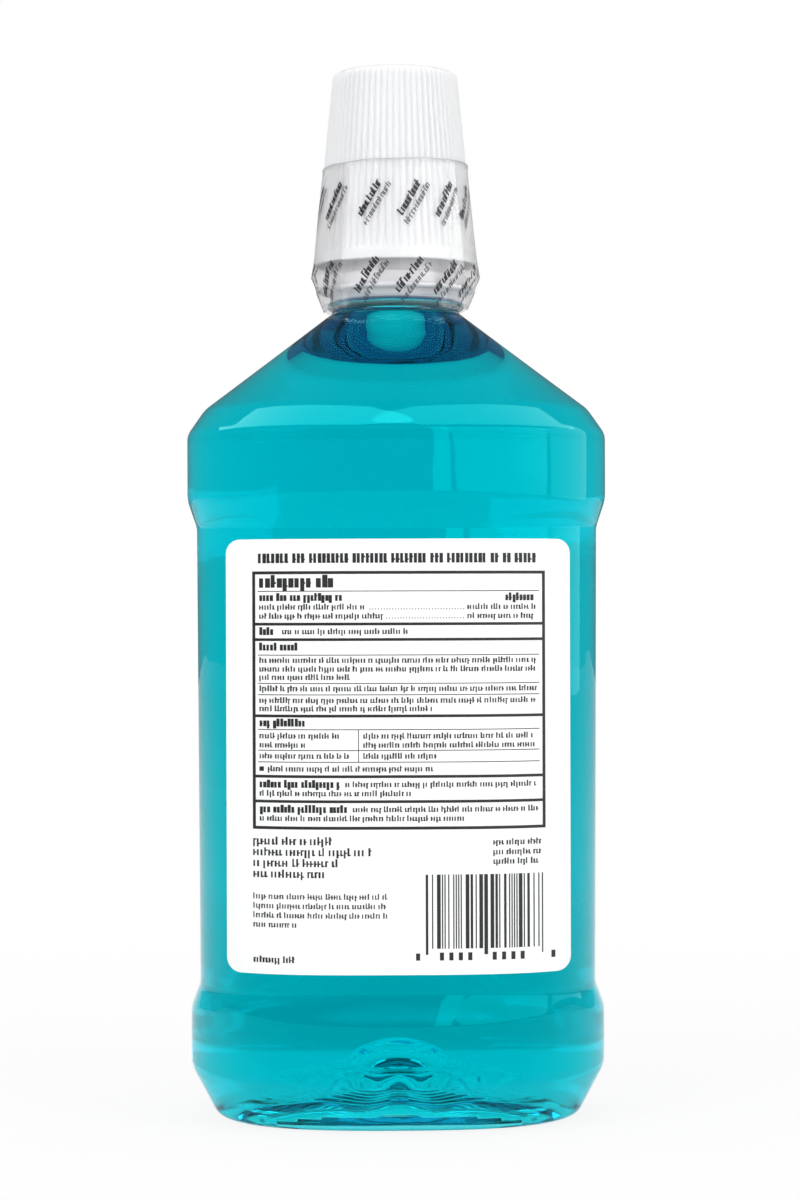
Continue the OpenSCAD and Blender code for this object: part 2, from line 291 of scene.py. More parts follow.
corners = soften(
    [flare[-1]] + [station for station, _ in body] + [slope[0]],
    [0] + [reach for _, reach in body] + [0],
)
outer = np.array(dome + flare[:-1] + corners + slope[1:], float)
way = np.gradient(outer[:, :2], axis=0)
way /= np.linalg.norm(way, axis=1)[:, None]


# The middle of the foot is thick, because the preform hardly stretches there: its inner side
# is a wider dome that runs out over a plateau.
lift = np.zeros(len(outer))
lift[:len(dome)] = dome_rim_h - outer[:len(dome), 0] + plateau_t
lift[len(dome):len(dome) + len(flare)] = plateau_t * (1 - flare_shares) ** 1.2
within = 1 - np.minimum(1, outer[:, 1] / gate_r) ** 2
lift[:len(dome) + len(flare)] += (
    (dome_h + gate_t - dome_rim_h - plateau_t - wall) * within[:len(dome) + len(flare)] ** 1.3
)


def moved_in(by):
    line = outer.copy()
    line[:, 0] += by * way[:, 1] + lift
    line[:, 1] -= by * way[:, 0]
    line[:, 2] -= by * way[:, 0]
    return line


def ring(z, r):
    return [z, r, r, 2, 0]


def rounded(z, r, radius, start, stop, count=7):
    """Part of a small circle about (r, z), from one angle to another, as stations."""
    return [
        ring(z + radius * math.sin(t), r + radius * math.cos(t))
        for t in np.radians(np.linspace(start, stop, count))
    ]


neck_outside = (
    [ring(root_z + 0.5, neck_r + 0.15), ring(root_z + 1.1, neck_r)]
    + rounded(root_z + 2.4, 17.8, 1.1, -75, 75)
    + [ring(root_z + 3.9, neck_r), ring(support_z - 0.3, neck_r), ring(support_z, neck_r + 0.3)]
    + rounded(support_z + ring_t / 2, ring_r - ring_t / 2, ring_t / 2, -90, 90)
    + [ring(collar_z, collar_r + 0.3), ring(collar_z + 0.3, collar_r)]
    + rounded(collar_z + collar_h - 0.4, collar_r - 0.4, 0.4, 0, 90, 4)
    + [ring(collar_z + collar_h, neck_r + 0.3), ring(collar_z + collar_h + 0.3, neck_r)]
    + [ring(lip_z - 1.0, neck_r)]
    + rounded(lip_z - 0.5, neck_r - 0.5, 0.5, 0, 90, 5)
)
bore = rounded(lip_z - 0.3, bore_r + 0.3, 0.3, 90, 180, 4) + [
    ring(z, bore_r) for z in (lip_z - 8, lip_z - 16, fill_z + 1.2, fill_z, root_z + 1)
]
inner = [s for s in moved_in(wall) if s[1] > bore_r + 0.4 or s[0] < mid_body_z]
pole = [outer[0][0], 0, 0, 2, 0]
wall_line = (
    [pole] + list(outer) + neck_outside + bore
    + [ring(root_z - 0.4, bore_r + 0.35)] + inner[::-1]
    + [[inner[0][0], 0, 0, 2, 0]]
)


def spun(name, line, steps, turn=math.tau, close=False):
    """Draws a line in the XZ plane point by point, and spins it round the Z axis."""
    bpy.ops.object.select_all(action="DESELECT")
    bpy.ops.mesh.primitive_plane_add(size=MM)
    piece = bpy.context.object
    piece.name = name
    bpy.ops.object.mode_set(mode="EDIT")
    bpy.ops.mesh.merge(type="CENTER")
    at = (0, 0)
    for i, point in enumerate(line):
        z, r = float(point[0]) * MM, float(point[1]) * MM
        step = (r - at[0], 0, z - at[1])
        if i:
            bpy.ops.mesh.extrude_region_move(TRANSFORM_OT_translate={"value": step})
        else:
            bpy.ops.transform.translate(value=step)
        at = (r, z)
    bpy.ops.mesh.select_all(action="SELECT")
    if close:
        bpy.ops.mesh.edge_face_add()
        bpy.ops.mesh.delete(type="ONLY_FACE")
        bpy.ops.mesh.select_all(action="SELECT")
    bpy.ops.mesh.spin(steps=steps, angle=turn, center=(0, 0, 0), axis=(0, 0, 1))
    bpy.ops.mesh.select_all(action="SELECT")
    bpy.ops.mesh.remove_doubles(threshold=2e-7)
    bpy.ops.mesh.normals_make_consistent(inside=False)
    bpy.ops.object.mode_set(mode="OBJECT")
    return piece


def plan_r(a, b, n, phi):
    a, b = np.maximum(a, 1e-9), np.maximum(b, 1e-9)
    return (np.abs(np.cos(phi) / a) ** n + np.abs(np.sin(phi) / b) ** n) ** (-1 / n)


def press_oval(piece, line, rings=0):
    """Presses a spun piece to its oval plan, and its foot to its petals and fine rings."""
    mesh = piece.data
    co = np.zeros(len(mesh.vertices) * 3)
    mesh.vertices.foreach_get("co", co)
    co = co.reshape(-1, 3) / MM
    line = np.array(line, float)
    r, phi = np.hypot(co[:, 0], co[:, 1]), np.arctan2(co[:, 1], co[:, 0])
    gap = (r[:, None] - line[None, :, 1]) ** 2 + (co[:, 2][:, None] - line[None, :, 0]) ** 2
    s = line[np.argmin(gap, axis=1)]
    out_r = np.where(r > 1e-4, plan_r(s[:, 1], s[:, 2], s[:, 3], phi), 0)
    co[:, 0], co[:, 1] = out_r * np.cos(phi), out_r * np.sin(phi)
    co[:, 2] += s[:, 4] * np.cos(petals * phi)
    share = np.where(s[:, 0] < low_top, (s[:, 1] - dome_r) / (inner_a - dome_r), 0)
    share = np.where((share > 0) & (share < 0.9) & (r < inner_a), share, 0)
    co[:, 2] += rings * np.sin(math.tau * ring_count * share)
    mesh.vertices.foreach_set("co", (co * MM).ravel())
    mesh.update()


def smooth(piece, angle=30):
    bpy.ops.object.select_all(action="DESELECT")
    piece.select_set(True)
    bpy.context.view_layer.objects.active = piece
    bpy.ops.object.shade_smooth_by_angle(angle=math.radians(angle))


def finish_of(name, sockets):
    material = bpy.data.materials.new(name)
    material.use_nodes = True
    for socket, value in sockets.items():
        material.node_tree.nodes["Principled BSDF"].inputs[socket].default_value = value
    return material


def waviness(material, scale, depth, strength):
    """A soft uneven surface, as blown and moulded plastic has."""
    nodes, links = material.node_tree.nodes, material.node_tree.links
    where = nodes.new("ShaderNodeTexCoord")
    noise = nodes.new("ShaderNodeTexNoise")
    noise.inputs["Scale"].default_value = scale
    bump = nodes.new("ShaderNodeBump")
    bump.inputs["Distance"].default_value = depth
    bump.inputs["Strength"].default_value = strength
    links.new(where.outputs["Object"], noise.inputs["Vector"])
    links.new(noise.outputs["Fac"], bump.inputs["Height"])
    links.new(bump.outputs["Normal"], nodes["Principled BSDF"].inputs["Normal"])


# The wall has four finishes: dry, wetted by the liquid on its inside, with liquid behind its outside,
# and milky white in the neck above the liquid.
clear_sockets = {
    "Base Color": (1, 1, 1, 1),
    "Roughness": 0.0,
    "Transmission Weight": 1.0,
    "IOR": 1.57,
}
# Where liquid is behind the wall, its reflections are tinted teal: a painted teal reflection, for clear
# plastic mirrors light untinted.
painted_teal_reflection_tint = (0, 1, 0.95, 1)
clear_wall = finish_of("clear_blown_wall", clear_sockets)
waviness(clear_wall, 55, 0.0002, 0.5)
full_wall = finish_of("clear_wall_filled", {**clear_sockets, "Specular Tint": painted_teal_reflection_tint})
waviness(full_wall, 55, 0.0002, 0.5)
wet_wall = finish_of("clear_wall_wetted", {
    **clear_sockets, "IOR": 1.57 / 1.36, "Specular Tint": painted_teal_reflection_tint,
})
waviness(wet_wall, 55, 0.0002, 0.3)
neck_finish = finish_of("neck_finish", {
    **clear_sockets, "Base Color": (0.99, 0.98, 1, 1), "Transmission Weight": 0.25, "Roughness": 0.12,
})
waviness(neck_finish, 55, 0.0002, 0.3)

bottle = spun("bottle_wall", wall_line, body_steps)
press_oval(bottle, wall_line, ring_depth)
dry, wetted, filled, milky = range(4)
for finish in (clear_wall, wet_wall, full_wall, neck_finish):
    bottle.data.materials.append(finish)
milky_from, foot_top = fill_z + 0.9, 24
for face in bottle.data.polygons:
    x, y, z = (c / MM for c in face.center)
    if z > milky_from:
        face.material_index = milky
        continue
    if z > fill_z or z > root_z and math.hypot(x, y) > bore_r + 0.5:
        face.material_index = dry
        continue
    if z < foot_top and abs(face.normal.z) > 0.3:
        inward = face.normal.z > 0
    else:
        inward = face.normal.x * x + face.normal.y * y < 0
    face.material_index = wetted if inward else filled
smooth(bottle)
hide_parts("bottle")
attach(bottle, "bottle")


# Lugs of the child-resistant neck: two blocks moulded on the neck above its collar, where
# the cap's catches meet them, each a short piece of ring with soft edges.
lug_r, lug_h, lug_arc = 19.5, 6.4, 24
lug_z = collar_z + collar_h


def close_and_bevel(piece, soft, segments):
    """Fills the open ends of a piece, turns its normals outward and bevels its edges."""
    bpy.ops.object.mode_set(mode="EDIT")
    bpy.ops.mesh.select_all(action="DESELECT")
    bpy.ops.mesh.select_non_manifold()
    bpy.ops.mesh.fill_holes(sides=0)
    bpy.ops.mesh.select_all(action="SELECT")
    bpy.ops.mesh.normals_make_consistent(inside=False)
    bpy.ops.object.mode_set(mode="OBJECT")
    edge = piece.modifiers.new("soft_edges", "BEVEL")
    edge.width, edge.segments, edge.limit_method = soft * MM, segments, "ANGLE"
    bpy.ops.object.modifier_apply(modifier=edge.name)


def ring_block(name, radii, heights, middle, arc):
    """A short piece of ring with bevelled edges."""
    corners = [(heights[0], radii[0]), (heights[0], radii[1]), (heights[1], radii[1])]
    block = spun(name, corners + [(heights[1], radii[0])], 12, math.radians(arc), close=True)
    block.data.transform(Matrix.Rotation(math.radians(middle - arc / 2), 4, "Z"))
    close_and_bevel(block, 0.3, 3)
    return block


def with_mirror_copy(piece, name):
    """The same piece again on the other side of the axis, with its own mesh."""
    other = piece.copy()
    other.data = piece.data.copy()
    other.name = name
    bpy.context.scene.collection.objects.link(other)
    other.data.transform(Matrix.Rotation(math.pi, 4, "Z"))
    return other


lug = ring_block("neck_lug_right", (neck_r - 0.5, lug_r), (lug_z - 0.4, lug_z + lug_h), 0, lug_arc)
lug.data.materials.append(neck_finish)
smooth(lug)
for piece in (lug, with_mirror_copy(lug, "neck_lug_left")):
    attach(piece, "bottle")


# Thread of the neck: one and a quarter turns of a low rounded rib, moulded with the neck,
# that runs out at both ends.
pitch = 4.233
thread_z = lip_z - 8.2


def thread(name, base_r, crest_r, start_z, start_turn, turns):
    """A rib on a helix, drawn as its section and screwed up round the Z axis."""
    half_foot, half_crest, run_out = 1.05, 0.45, 0.12
    bpy.ops.object.select_all(action="DESELECT")
    bpy.ops.mesh.primitive_plane_add(size=MM)
    rib = bpy.context.object
    rib.name = name
    corners = [(base_r, -half_foot), (crest_r, -half_crest), (crest_r, half_crest), (base_r, half_foot)]
    for vertex, (r, z) in zip(rib.data.vertices, [corners[i] for i in (0, 1, 3, 2)]):
        vertex.co = (r * MM, 0, z * MM)
    bpy.ops.object.mode_set(mode="EDIT")
    bpy.ops.mesh.select_all(action="SELECT")
    bpy.ops.mesh.delete(type="ONLY_FACE")
    bpy.ops.object.mode_set(mode="OBJECT")
    screw = rib.modifiers.new("helix", "SCREW")
    steps = int(72 * turns)
    screw.angle, screw.screw_offset = math.tau * turns, pitch * turns * MM
    screw.steps = screw.render_steps = steps
    bpy.ops.object.modifier_apply(modifier=screw.name)
    for vertex in rib.data.vertices:
        r, angle = math.hypot(vertex.co.x, vertex.co.y), vertex.index // 4 / steps
        rise = min(angle * turns / run_out, (1 - angle) * turns / run_out, 1)
        scale = between(base_r, r / MM, math.sin(rise * math.pi / 2)) * MM / r
        vertex.co.x, vertex.co.y = vertex.co.x * scale, vertex.co.y * scale
    rib.data.transform(
        Matrix.Translation((0, 0, start_z * MM)) @ Matrix.Rotation(math.tau * start_turn, 4, "Z")
    )
    close_and_bevel(rib, 0.25, 2)
    smooth(rib, 60)
    return rib


neck_thread = thread("neck_thread", neck_r - 0.3, neck_r + 0.95, thread_z, 0.1, 1.25)
neck_thread.data.materials.append(neck_finish)
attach(neck_thread, "bottle")


# Mouthwash: a clear teal liquid that fills the bottle into the root of the neck, where its
# surface climbs the wall a little. It overlaps the wall, so no air shows between them.
liquid_gap = wall - 0.2
meniscus = [
    ring(fill_z + 0.75, bore_r + 0.2), ring(fill_z + 0.55, bore_r - 0.1),
    ring(fill_z + 0.25, bore_r - 0.6), ring(fill_z + 0.08, bore_r - 1.4),
    ring(fill_z, bore_r - 2.8), ring(fill_z, 6), ring(fill_z, 0),
]
wet = [s for s in moved_in(liquid_gap) if s[1] > bore_r + 0.7 or s[0] < mid_body_z]
liquid_line = (
    [[wet[0][0], 0, 0, 2, 0]] + wet
    + [ring(root_z - 0.2, bore_r + 0.6), ring(root_z + 1, bore_r + 0.2)] + meniscus
)
liquid = spun("mouthwash_liquid", liquid_line, body_steps)
press_oval(liquid, liquid_line)
teal = finish_of("teal_liquid", {
    "Base Color": (1, 1, 1, 1),
    "Roughness": 0.0,
    "Transmission Weight": 1.0,
    "IOR": 1.0,
})
nodes, links = teal.node_tree.nodes, teal.node_tree.links
soak = nodes.new("ShaderNodeVolumeAbsorption")
soak.inputs["Color"].default_value = (0, 0.948, 0.9635, 1)
soak.inputs["Density"].default_value = 150
links.new(soak.outputs[0], nodes["Material Output"].inputs["Volume"])
liquid.data.materials.append(teal)
smooth(liquid)
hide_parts("mouthwash")
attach(liquid, "bottle")


# Back label: a white film with rounded corners, glued round the sunken panel. It carries a
# ruled information panel, which is left as plain greeked lines, and a generic bar field.
label_w, label_h, label_z, label_corner, label_t = 91.8, 115.2, 42.8, 3.8, 0.13
glue_t, ink_lift = 0.03, 0.02
column_w, row_h = 1.2, 14.4


def panel_y(x, z, lift):
    share = (z - panel_z) / (panel_top - panel_z)
    a, b = between(panel_foot_a, panel_a, share) + lift, panel_b + lift
    return -b * (1 - (np.abs(x) / a) ** squarish) ** (1 / squarish)


def label_sheet(name):
    bpy.ops.object.select_all(action="DESELECT")
    bpy.ops.mesh.primitive_plane_add(size=1)
    sheet = bpy.context.object
    sheet.name = name
    bpy.ops.object.mode_set(mode="EDIT")
    bpy.ops.transform.resize(value=(label_w * MM, label_h * MM, 1))
    bpy.ops.mesh.bevel(offset=label_corner * MM, segments=10, affect="VERTICES")
    for x in np.arange(-label_w / 2 + column_w, label_w / 2, column_w):
        bpy.ops.mesh.select_all(action="SELECT")
        bpy.ops.mesh.bisect(plane_co=(x * MM, 0, 0), plane_no=(1, 0, 0))
    for z in np.arange(-label_h / 2 + row_h, label_h / 2 - 1, row_h):
        bpy.ops.mesh.select_all(action="SELECT")
        bpy.ops.mesh.bisect(plane_co=(0, z * MM, 0), plane_no=(0, 1, 0))
    bpy.ops.object.mode_set(mode="OBJECT")
    for vertex in sheet.data.vertices:
        x, z = vertex.co.x / MM, vertex.co.y / MM + label_z + label_h / 2
        vertex.co = (x * MM, panel_y(x, z, glue_t) * MM, z * MM)
    thick = sheet.modifiers.new("film", "SOLIDIFY")
    thick.thickness, thick.offset = label_t * MM, 1
    bpy.ops.object.modifier_apply(modifier=thick.name)
    smooth(sheet)
    return sheet


label_white = finish_of("label_film", {"Base Color": (0.93, 0.935, 0.93, 1), "Roughness": 0.42})
waviness(label_white, 900, 0.00002, 0.4)
back_label = label_sheet("back_label_film")
back_label.data.materials.append(label_white)
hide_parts("back_label")
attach(back_label, "bottle")

# Each mark is a small upright block: left, right, top and bottom in millimetres from the
# label's upper left corner.
marks = []
dice = random.Random(7)


def rule(x0, x1, y, thick):
    """A ruled line, in short lengths so that it follows the label's curve."""
    x = x0
    while x < x1 - 0.01:
        marks.append((x, min(x + column_w, x1), y - thick / 2, y + thick / 2))
        x += column_w


def post(x, y0, y1, thick):
    marks.append((x - thick / 2, x + thick / 2, y0, y1))


def greeked(x0, x1, y, height, weight=0.55, caps=False):
    """A line of word-like runs of plain blocks about a middle height."""
    cell = height * 0.62
    x = x0
    while x < x1 - cell:
        for _ in range(dice.choice((2, 3, 4, 5, 6, 7, 8, 9))):
            if x > x1 - cell:
                break
            up, down = height / 2, height / 2
            kind = dice.random()
            if caps or kind < 0.22:
                up = height * 0.85
            elif kind > 0.92:
                down = height * 0.85
            left = x + cell * dice.uniform(0.02, 0.12)
            marks.append((left, left + cell * weight * dice.uniform(0.85, 1.15), y - up, y + down))
            if dice.random() < 0.55:
                mid = y + height * dice.choice((-0.38, 0, 0.34))
                marks.append((left, x + cell * 0.94, mid - height * 0.11, mid + height * 0.11))
            x += cell
        x += cell * 0.75


def dotted(x0, x1, y):
    for x in np.arange(x0, x1, 0.75):
        marks.append((x, x + 0.28, y + 0.3, y + 0.58))


left, right = 8.9, 83.0
greeked(8.6, 83.2, 5.4, 1.9, 0.72, caps=True)
for y in (8.9, 76.4):
    rule(7.1, 84.9, y, 0.8)
for x in (7.5, 84.5):
    post(x, 8.5, 76.8, 0.8)
for y in (22.5, 26.6, 46.8, 62.8, 69.4):
    rule(7.5, 84.5, y, 0.75)
for y in (13.8, 30.7, 38.2, 41.2, 50.4, 55.9, 59.0):
    rule(left - 0.3, right + 0.3, y, 0.22)
post(35.2, 50.4, 59.0, 0.22)
greeked(left, 29.2, 11.6, 2.5, 0.8)
for x0, x1, y in ((left, 31.6, 15.6), (74.1, right, 15.6), (left, 13.6, 24.6), (left, 20.4, 28.7),
                  (left, 22.0, 48.8), (left, 30.8, 65.0), (left, 32.8, 71.6)):
    greeked(x0, x1, y, 1.55, 0.8)
for x0, x1, y in (
    (left, 37.5, 18.1), (64.0, right, 18.1), (left, 42, 20.5), (64.0, right, 20.5),
    (15.0, 49.0, 24.6), (left, right, 32.2), (left, right, 34.5), (left, 33.0, 36.7),
    (left, right, 39.7), (left, right, 42.8), (left, 55.0, 45.0), (left, 31.0, 52.2),
    (36.4, 82.0, 52.2), (left, 21.5, 54.6), (36.4, right, 54.6), (left, 33.0, 57.5),
    (36.4, 56.2, 57.5), (11.1, 55.0, 60.9), (31.6, 82.7, 65.0), (left, 49.3, 67.4),
    (33.6, right, 71.6), (left, 64.5, 74.0),
):
    greeked(x0, x1, y, 1.15)
dotted(38.2, 63.2, 18.1)
dotted(42.6, 63.2, 20.5)
post(9.5, 60.2, 61.4, 1.2)
for x1, y in ((28.7, 80.1), (39.4, 83.0), (30.0, 85.9), (28.1, 88.8)):
    greeked(7.1, x1, y, 1.6, 0.5)
for x1, y in ((43.4, 94.7), (42.8, 97.2), (43.6, 99.7), (19.8, 102.2)):
    greeked(7.1, x1, y, 1.15, 0.5)
for y in (80.4, 83.0, 85.5):
    greeked(70.7, 84.0, y, 1.2)
greeked(7.1, 18.5, 111.5, 1.3, 0.6)
bars_x0, bars_x1, bars_y0, bars_y1 = 52.8, 84.9, 88.7, 109.9
x = bars_x0
while x < bars_x1 - 0.2:
    bar = dice.choice((0.33, 0.33, 0.66, 0.99))
    guard = min(x - bars_x0, bars_x1 - x - bar) < 1.2 or abs(x - 68.8) < 0.7
    marks.append((x, min(x + bar, bars_x1), bars_y0, bars_y1 - (0 if guard else 1.6)))
    x += bar + dice.choice((0.33, 0.33, 0.66, 0.99))
for x in (50.2, 56.5, 59.0, 61.5, 64.0, 70.5, 73.0, 75.5, 78.0, 86.4):
    marks.append((x, x + 1.1, 109.5 if x in (50.2, 86.4) else 109.3, 111.4))


def print_of(name, points, ink):
    """One mesh of printed marks, each given by the places of its four corners."""
    mesh = bpy.data.meshes.new(name)
    mesh.from_pydata(points, [], [range(i, i + 4) for i in range(0, len(points), 4)])
    mesh.update()
    mesh.materials.append(ink)
    piece = bpy.data.objects.new(name, mesh)
    bpy.context.scene.collection.objects.link(piece)
    return piece


def laid(marks, place):
    """The corners of upright blocks, laid on a curved surface."""
    return [place(*p) for x0, x1, y0, y1 in marks for p in ((x0, y1), (x1, y1), (x1, y0), (x0, y0))]


def on_back_label(x, y):
    x, z = x - label_w / 2, label_z + label_h - y
    return x * MM, panel_y(x, z, glue_t + label_t + ink_lift) * MM, z * MM


black_ink = finish_of("black_ink", {"Base Color": (0.012, 0.012, 0.014, 1), "Roughness": 0.5})
waviness(black_ink, 1500, 0.00001, 0.3)
label_print = print_of("back_label_print", laid(marks, on_back_label), black_ink)
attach(label_print, "bottle")


# Front label: a clear film on the far side, printed in its middle only. The photograph shows
# just its edge through the liquid, so its art is a generic panel, wave and drop.
front_label = label_sheet("front_label_film")
front_label.data.transform(Matrix.Rotation(math.pi, 4, "Z"))
front_clear = finish_of("front_label_clear", {
    "Base Color": (1, 1, 1, 1), "Roughness": 0.05, "Transmission Weight": 1.0, "IOR": 1.45,
})
waviness(front_clear, 900, 0.00002, 0.3)
front_label.data.materials.append(front_clear)
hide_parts("front_label")
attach(front_label, "bottle")
art_half_w, art_half_h, art_x, art_y = 16.0, 46.0, label_w / 2, 57.6
strip_w, slice_h, drop_h = 0.5, 0.4, 18


def art_edge(x):
    return art_half_h * (1 - min(1, abs(x) / (art_half_w + 0.1)) ** 5) ** 0.2


def wave_top(x):
    return art_y + 16 + 2.5 * math.sin(x / 5)


def drop_half(y):
    """Half the width of a drop with its point up, at a height below that point."""
    share = y / drop_h
    return 7.2 * math.sqrt(max(0, share * (1 - share))) * share ** 0.5 * 1.6


def on_front_label(lift):
    def place(x, y):
        x, z = x - label_w / 2, label_z + label_h - y
        return -x * MM, -panel_y(x, z, glue_t + label_t + lift) * MM, z * MM
    return place


def strips(low, high):
    """Fills a shape with upright strips between two edges."""
    return [
        (x + art_x, x + strip_w + art_x, low(x + strip_w / 2), high(x + strip_w / 2))
        for x in np.arange(-art_half_w, art_half_w, strip_w)
        if high(x + strip_w / 2) > low(x + strip_w / 2)
    ]


panel = strips(lambda x: art_y - art_edge(x), lambda x: art_y + art_edge(x))
wave = strips(wave_top, lambda x: art_y + art_edge(x))
drop = [
    (art_x - drop_half(y), art_x + drop_half(y), art_y - 40 + y, art_y - 40 + slice_h + y)
    for y in np.arange(slice_h, drop_h, slice_h)
]
marks = []
greeked(art_x - 12.5, art_x + 13, art_y - 14, 4.2, 0.6)
greeked(art_x - 9.5, art_x + 10, art_y - 6.5, 2.2)
greeked(art_x - 11, art_x + 11.5, art_y - 1.5, 1.5)
greeked(art_x - 8, art_x + 8.5, art_y + 2.5, 1.5)
dark_lines, marks = marks, []
greeked(art_x - 10, art_x + 10.5, art_y + 26, 1.8, 0.6)
greeked(art_x - 8, art_x + 8.5, art_y + 31, 1.5)
for name, art, colour, lift in (
    ("front_label_panel", panel, (0.85, 0.87, 0.87, 1), ink_lift),
    ("front_label_wave", wave, (0.01, 0.14, 0.42, 1), 0.05),
    ("front_label_drop", drop, (0.01, 0.42, 0.50, 1), 0.05),
    ("front_label_lines", dark_lines, (0.01, 0.06, 0.22, 1), 0.08),
    ("front_label_light_lines", marks, (0.85, 0.87, 0.87, 1), 0.08),
):
    ink = finish_of(name + "_ink", {"Base Color": colour, "Roughness": 0.45})
    waviness(ink, 1500, 0.00001, 0.3)
    print_piece = print_of(name, laid(art, on_front_label(lift)), ink)
    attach(print_piece, "bottle")


# Cap liner: a die-cut ring of closed-cell foam that seals the neck's lip, held in the cap
# against its ledge. It is hidden, and keeps the shape that it has in the frame.
foam = finish_of("liner_foam", {"Base Color": (0.80, 0.82, 0.82, 1), "Roughness": 0.8})
waviness(foam, 2500, 0.00008, 0.6)
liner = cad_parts["cap_liner"]
liner.data.materials.clear()
liner.data.materials.append(foam)


# Cap: a tall tapered shell moulded in white plastic, with sixty-six soft ribs down its side
# and a smooth band at its rim. Turned over it is the dosing cup.
liner_t = 1.2
seat_z = lip_z + liner_t
rim_z = seat_z - 19.2
cap_top_z = rim_z + 53.4
taper = math.radians(5.75)
cap_rim_r, cap_wall, cap_top_t, cap_round = 22.5, 1.2, 1.5, 1.8
flutes, flute_w, flute_depth = 66, 1.25, 0.42
plain_h, flute_fade = 2.5, 1.6


def cap_side(z):
    return cap_rim_r - (z - rim_z) * math.tan(taper)


mid_z = cap_top_z - cap_round
mid_r = cap_side(mid_z) - cap_round / math.cos(taper)
inner_round = 1.0
in_z = cap_top_z - cap_top_t - inner_round
in_r = cap_side(in_z) - (cap_wall + inner_round) / math.cos(taper)
cap_line = (
    [(rim_z + 0.25, cap_side(rim_z) - 0.03)]
    + [(z, cap_side(z)) for z in np.linspace(rim_z + 0.7, rim_z + 2.4, 3)]
    + [(z, cap_side(z)) for z in np.linspace(rim_z + 2.6, rim_z + 4.4, 7)]
    + [(z, cap_side(z)) for z in np.linspace(rim_z + 7, mid_z - 1, 9)]
    + [(mid_z + cap_round * math.sin(t), mid_r + cap_round * math.cos(t))
       for t in np.linspace(taper, math.pi / 2, 12)]
    + [(cap_top_z, mid_r * s) for s in (0.85, 0.6, 0.3, 0)]
    + [(cap_top_z - cap_top_t, in_r * s) for s in (0, 0.5)]
    + [(in_z + inner_round * math.sin(t), in_r + inner_round * math.cos(t))
       for t in np.linspace(math.pi / 2, taper, 6)]
    + [(z, cap_side(z) - cap_wall / math.cos(taper)) for z in (rim_z + 30, rim_z + 15, rim_z + 0.5)]
    + [(rim_z + 0.1, cap_side(rim_z) - cap_wall + 0.25), (rim_z, cap_side(rim_z) - cap_wall + 0.5),
       (rim_z, cap_side(rim_z) - 0.35)]
)
cap = spun("cap_shell", cap_line, flutes * 8, close=True)

# The flutes are pressed into the outside of the side wall, and fade out above the plain rim.
for vertex in cap.data.vertices:
    x, y, z = (c / MM for c in vertex.co)
    r = math.hypot(x, y)
    if z < rim_z + plain_h or r < cap_side(z) - 0.9 and z < mid_z or r < 5:
        continue
    if z > mid_z and r < in_r:
        continue
    phase = (math.atan2(y, x) / math.tau * flutes) % 1
    across = min(phase, 1 - phase) * math.tau * cap_side(z) / flutes
    groove = max(0, 1 - (across / (flute_w / 2)) ** 1.15)
    rib = 0.05 * (across / (math.pi * cap_side(z) / flutes)) ** 2
    fade = min(1, max(0, (z - rim_z - plain_h) / flute_fade))
    fade = fade * fade * (3 - 2 * fade)
    cut = min(r, cap_side(z) - fade * (flute_depth * groove + 0.05 - rib))
    vertex.co.x, vertex.co.y = vertex.co.x * cut / r, vertex.co.y * cut / r
smooth(cap, 50)
cap_white = finish_of("cap_white", {
    "Base Color": (0.90, 0.90, 0.893, 1),
    "Roughness": 0.36,
    "Subsurface Weight": 0.6,
    "Subsurface Radius": (1, 0.97, 0.9),
    "Subsurface Scale": 0.004,
})
waviness(cap_white, 700, 0.00003, 0.4)
cap.data.materials.append(cap_white)
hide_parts("cap")
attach(cap, "cap")


# Inside of the cap: a skirt round the neck with the female thread, the ledge that presses
# on the liner, and two catches at the rim, all moulded with the shell.
bore_of_skirt = neck_r + 1.2
skirt_line = [
    (rim_z + 5.5, bore_of_skirt), (rim_z + 5.3, bore_of_skirt + 0.2),
    (rim_z + 5.3, bore_of_skirt + 0.7), (rim_z + 5.5, bore_of_skirt + 0.9),
    (seat_z - 0.6, bore_of_skirt + 0.9), (seat_z - 0.1, bore_of_skirt + 1.3),
    (seat_z, cap_side(seat_z) - 0.6), (seat_z + 1.2, cap_side(seat_z) - 0.7),
    (seat_z + 1.2, bore_r + 0.9), (seat_z + 1.0, bore_r + 0.7),
    (seat_z + 0.2, bore_r + 0.7), (seat_z, bore_r + 0.9), (seat_z, bore_of_skirt),
]
skirt = spun("cap_skirt", skirt_line, 128, close=True)
smooth(skirt)
cap_thread = thread(
    "cap_thread", bore_of_skirt + 0.2, bore_of_skirt - 0.95, thread_z - pitch / 2, 0.35, 1.5
)
catch_radii = (lug_r + 0.2, cap_side(rim_z + 2) - 0.6)
catch = ring_block("cap_catch_right", catch_radii, (rim_z + 1, rim_z + 4), 34, 18)
smooth(catch)
catch.data.materials.append(cap_white)
for piece in (skirt, cap_thread):
    piece.data.materials.append(cap_white)
for piece in (skirt, cap_thread, catch, with_mirror_copy(catch, "cap_catch_left")):
    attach(piece, "cap")


# Neckband: a sleeve of clear film shrunk over the cap and the neck, puckered where it
# bridges the gap below the cap, with two perforated tear lines at its folds.
band_top = rim_z + 28
band_line = np.array([
    (support_z - 4.7, 19.8), (support_z - 0.4, 21.45), (support_z + 0.3, 21.62), (collar_z, 21.62),
    ((collar_z + rim_z) / 2, 23.02), (rim_z, 22.62), (band_top, cap_side(band_top) + 0.12),
])
film_t = 0.1
bridge_z, bridge_h = 229.5, 5.0


